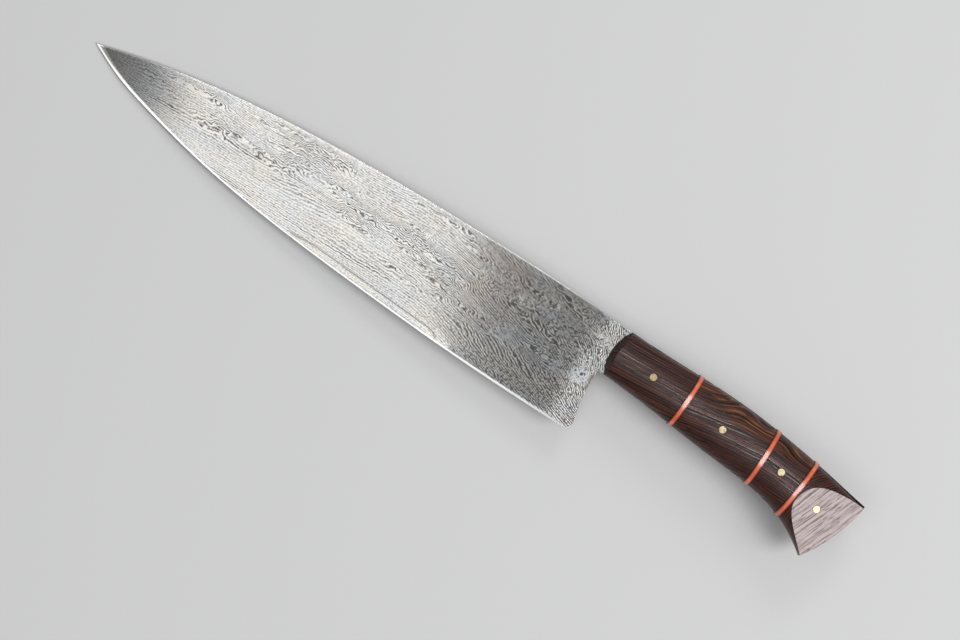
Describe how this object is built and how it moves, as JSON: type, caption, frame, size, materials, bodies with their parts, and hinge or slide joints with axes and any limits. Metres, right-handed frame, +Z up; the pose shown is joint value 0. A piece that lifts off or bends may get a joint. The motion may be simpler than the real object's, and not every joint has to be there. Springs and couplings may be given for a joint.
{
  "type": "chef knife",
  "caption": "Full-tang chef's knife with a broad pattern-welded blade that runs out to a point, and a segmented dark wood handle with bright spacers, flush brass pins and a flared butt.",
  "frame": {"origin": "under the middle of the bounding box, on the flat surface that the knife lies on", "axes": "+X towards the tip, +Y towards the cutting edge, +Z up out of the blade's left side; the knife lies on its right side, resting on the front of its handle and its tip, so its centre plane falls 2 degrees towards the tip"},
  "size_m": [0.381, 0.052, 0.0245],
  "materials": {
    "steel": "satin, etched layer pattern along the blade, bright edge bevel",
    "wood": "oiled dark hardwood with fine straight grain, satin",
    "spacer": "polished orange-red",
    "brass": "ground flush, satin"
  },
  "bodies": {
    "root": {"blade": "steel", "left_front_scale": "wood", "left_middle_scale": "wood", "left_rear_scale": "wood", "left_butt_scale": "wood", "left_front_spacer": "spacer", "left_middle_spacer": "spacer", "left_rear_spacer": "spacer", "right_front_scale": "wood", "right_middle_scale": "wood", "right_rear_scale": "wood", "right_butt_scale": "wood", "right_front_spacer": "spacer", "right_middle_spacer": "spacer", "right_rear_spacer": "spacer", "front_pin": "brass", "middle_pin": "brass", "rear_pin": "brass", "butt_pin": "brass"}
  },
  "joints": []
}
